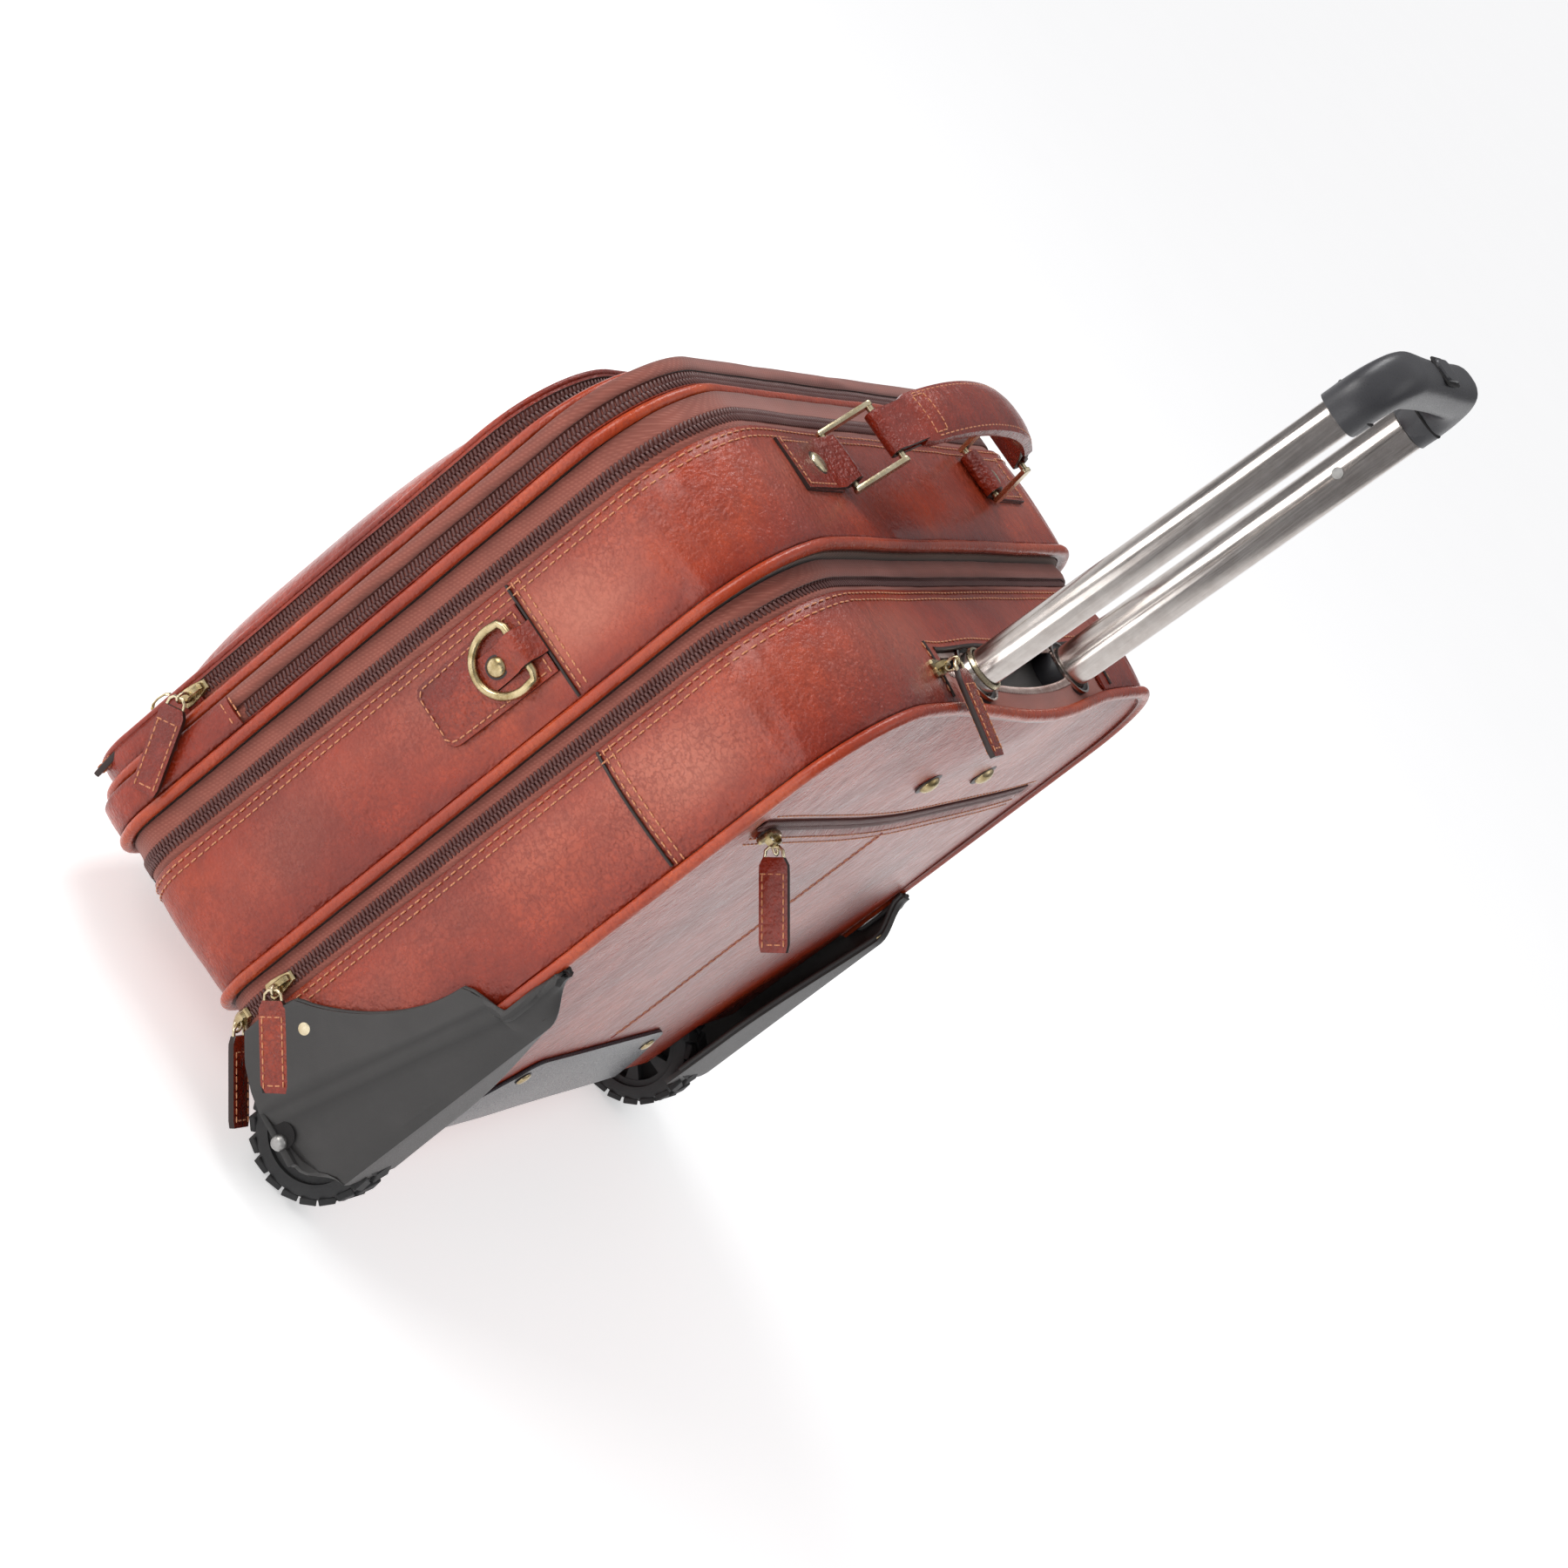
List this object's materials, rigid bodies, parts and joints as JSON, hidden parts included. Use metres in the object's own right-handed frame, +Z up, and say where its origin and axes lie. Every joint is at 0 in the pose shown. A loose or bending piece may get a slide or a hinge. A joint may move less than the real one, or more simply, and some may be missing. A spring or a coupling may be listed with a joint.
{
  "type": "rolling laptop case",
  "caption": "Soft leather wheeled laptop case in zipped sections that open, with telescopic trolley, carry handle, D-rings, corner wheel guards and front feet.",
  "frame": {"origin": "on the floor under the middle of the whole case's box, standing upright on its wheels and front feet", "axes": "+Z up, +Y to the back (wheels and trolley), -Y to the front pockets, +X to the side with the zip sliders"},
  "size_m": [0.4502, 0.3023, 0.6362],
  "materials": {
    "leather": "glazed cognac leather, fine pebble grain",
    "welt_leather": "glazed cognac leather piping",
    "handle_leather": "glazed cognac leather, stitched, dark painted edges",
    "zip_cloth": "woven brown zip tape with coil teeth",
    "lining": "brown woven lining over board",
    "brass": "antique brass, semi-polished",
    "steel": "champagne anodised and polished tube",
    "axle_steel": "zinc-plated steel",
    "black_plastic": "fine-grained black moulding",
    "tyre_rubber": "grey-black rubber"
  },
  "bodies": {
    "root": {"rear_gusset": "leather", "rear_zip_tape": "zip_cloth", "back_panel": "leather", "rear_welt": "welt_leather", "back_pocket_zip": "zip_cloth", "bottom_bumper": "black_plastic", "wheel_guard_right": "black_plastic", "wheel_guard_left": "black_plastic", "axle_right": "axle_steel", "axle_left": "axle_steel", "trolley_outer_tube_right": "steel", "trolley_outer_tube_left": "steel", "trolley_base": "black_plastic", "trolley_top_bracket": "black_plastic"},
    "front_section": {"front_gusset": "leather", "middle_welt": "welt_leather", "divider_panel": "lining", "front_zip_tape": "zip_cloth", "laptop_zip_tape": "zip_cloth", "d_ring_patch_right": "handle_leather", "d_ring_patch_left": "handle_leather", "handle_tab_right": "handle_leather", "handle_tab_left": "handle_leather"},
    "pocket_section": {"organiser_zip_tape": "zip_cloth", "second_welt": "welt_leather", "organiser_panel": "lining", "slip_pocket_zip_tape": "zip_cloth", "pocket_gusset": "leather", "front_welt": "welt_leather", "pocket_back_panel": "lining", "front_zip_tape_pocket": "zip_cloth", "front_pocket_lower": "leather", "front_feet": "black_plastic"},
    "front_flap": {"front_pocket_flap": "leather"},
    "carry_handle": {"handle_ring_right": "brass", "handle_ring_left": "brass", "handle_strap": "handle_leather"},
    "d_ring_right": {"d_ring_right": "brass"},
    "d_ring_left": {"d_ring_left": "brass"},
    "wheel_right": {"tyre_right": "tyre_rubber", "hub_right": "black_plastic"},
    "wheel_left": {"tyre_left": "tyre_rubber", "hub_left": "black_plastic"},
    "middle_stage_left": {"trolley_middle_tube_left": "steel"},
    "middle_stage_right": {"trolley_middle_tube_right": "steel"},
    "grip_stage": {"trolley_inner_tube_right": "steel", "trolley_inner_tube_left": "steel", "trolley_grip": "black_plastic"},
    "grip_button": {"grip_button": "black_plastic"},
    "detent_button": {"detent_button": "axle_steel"},
    "slider_rear_upper": {"slider_rear_upper": "brass"},
    "pull_rear_upper": {"pull_rear_upper": "handle_leather"},
    "slider_rear_lower": {"slider_rear_lower": "brass"},
    "pull_rear_lower": {"pull_rear_lower": "handle_leather"},
    "slider_front_pocket": {"slider_front_pocket": "brass"},
    "pull_front_pocket": {"pull_front_pocket": "handle_leather"},
    "slider_back_pocket": {"slider_back_pocket": "brass"},
    "pull_back_pocket": {"pull_back_pocket": "handle_leather"},
    "slider_slot": {"slider_slot": "brass"},
    "pull_slot": {"pull_slot": "handle_leather"}
  },
  "joints": [
    {"name": "rear_compartment_opening", "type": "hinge", "parent": "root", "child": "front_section", "pos_m": [0, 0.0202, 0.035], "axis": [1, 0, 0], "range_deg": [0, 80]},
    {"name": "laptop_compartment_opening", "type": "hinge", "parent": "front_section", "child": "pocket_section", "pos_m": [0, -0.0658, 0.035], "axis": [1, 0, 0], "range_deg": [0, 80]},
    {"name": "front_pocket_fold", "type": "hinge", "parent": "pocket_section", "child": "front_flap", "pos_m": [0, -0.1484, 0.115], "axis": [1, 0, 0], "range_deg": [0, 60]},
    {"name": "carry_handle_lean", "type": "hinge", "parent": "front_section", "child": "carry_handle", "pos_m": [0, -0.0358, 0.4016], "axis": [1, 0, 0], "range_deg": [-15, 15]},
    {"name": "d_ring_right_swing", "type": "hinge", "parent": "front_section", "child": "d_ring_right", "pos_m": [0.2205, -0.0298, 0.267], "axis": [0, -1, 0], "range_deg": [0, 150]},
    {"name": "d_ring_left_swing", "type": "hinge", "parent": "front_section", "child": "d_ring_left", "pos_m": [-0.2205, -0.0298, 0.267], "axis": [0, 1, 0], "range_deg": [0, 150]},
    {"name": "wheel_right_spin", "type": "hinge", "parent": "root", "child": "wheel_right", "pos_m": [0.18, 0.0797, 0.034], "axis": [1, 0, 0], "continuous": true},
    {"name": "wheel_left_spin", "type": "hinge", "parent": "root", "child": "wheel_left", "pos_m": [-0.18, 0.0797, 0.034], "axis": [1, 0, 0], "continuous": true},
    {"name": "middle_stage_left_slide", "type": "slide", "parent": "root", "child": "middle_stage_left", "axis": [0, 0.0366, 0.9993], "range_m": [-0.2, 0]},
    {"name": "grip_slide", "type": "slide", "parent": "middle_stage_left", "child": "grip_stage", "axis": [0, 0.0366, 0.9993], "range_m": [0, 0.2]},
    {"name": "middle_stage_right_slide", "type": "slide", "parent": "root", "child": "middle_stage_right", "axis": [0, 0.0366, 0.9993], "range_m": [0, 0.2]},
    {"name": "grip_button_press", "type": "slide", "parent": "grip_stage", "child": "grip_button", "axis": [0, -0.0366, -0.9993], "range_m": [0, 0.003], "stiffness_N_per_m": 300},
    {"name": "detent_button_press", "type": "slide", "parent": "middle_stage_left", "child": "detent_button", "axis": [-1, 0, 0], "range_m": [0, 0.001], "stiffness_N_per_m": 400},
    {"name": "slider_rear_upper_run", "type": "slide", "parent": "root", "child": "slider_rear_upper", "axis": [0, 0, 1], "range_m": [0, 0.24]},
    {"name": "pull_rear_upper_swing", "type": "hinge", "parent": "slider_rear_upper", "child": "pull_rear_upper", "pos_m": [0.2224, 0.02608, 0.07084], "axis": [1, 0, 0], "range_deg": [-50, 60]},
    {"name": "slider_rear_lower_run", "type": "slide", "parent": "root", "child": "slider_rear_lower", "axis": [0.6429, 0, 0.7659], "range_m": [0, 0.0025]},
    {"name": "pull_rear_lower_swing", "type": "hinge", "parent": "slider_rear_lower", "child": "pull_rear_lower", "pos_m": [0.21075, 0.02607, 0.03954], "axis": [1, 0, 0], "range_deg": [-35, 2]},
    {"name": "slider_front_pocket_run", "type": "slide", "parent": "pocket_section", "child": "slider_front_pocket", "axis": [0, 0, 1], "range_m": [0, 0.16]},
    {"name": "pull_front_pocket_swing", "type": "hinge", "parent": "slider_front_pocket", "child": "pull_front_pocket", "pos_m": [0.21953, -0.1099, 0.1079], "axis": [1, 0, 0], "range_deg": [-30, 60]},
    {"name": "slider_back_pocket_run", "type": "slide", "parent": "root", "child": "slider_back_pocket", "axis": [-1, 0, 0], "range_m": [0, 0.345]},
    {"name": "pull_back_pocket_swing", "type": "hinge", "parent": "slider_back_pocket", "child": "pull_back_pocket", "pos_m": [0.17336, 0.10607, 0.29434], "axis": [0, 0, 1], "range_deg": [-60, 60]},
    {"name": "slider_slot_run", "type": "slide", "parent": "root", "child": "slider_slot", "axis": [-1, 0, 0], "range_m": [-0.008, 0.024]},
    {"name": "pull_slot_swing", "type": "hinge", "parent": "slider_slot", "child": "pull_slot", "pos_m": [0.12178, 0.08072, 0.39671], "axis": [1, 0, 0], "range_deg": [0, 100]}
  ],
  "couplings": [
    {"joint": "middle_stage_right_slide", "follows": "grip_slide", "ratio": 1}
  ]
}
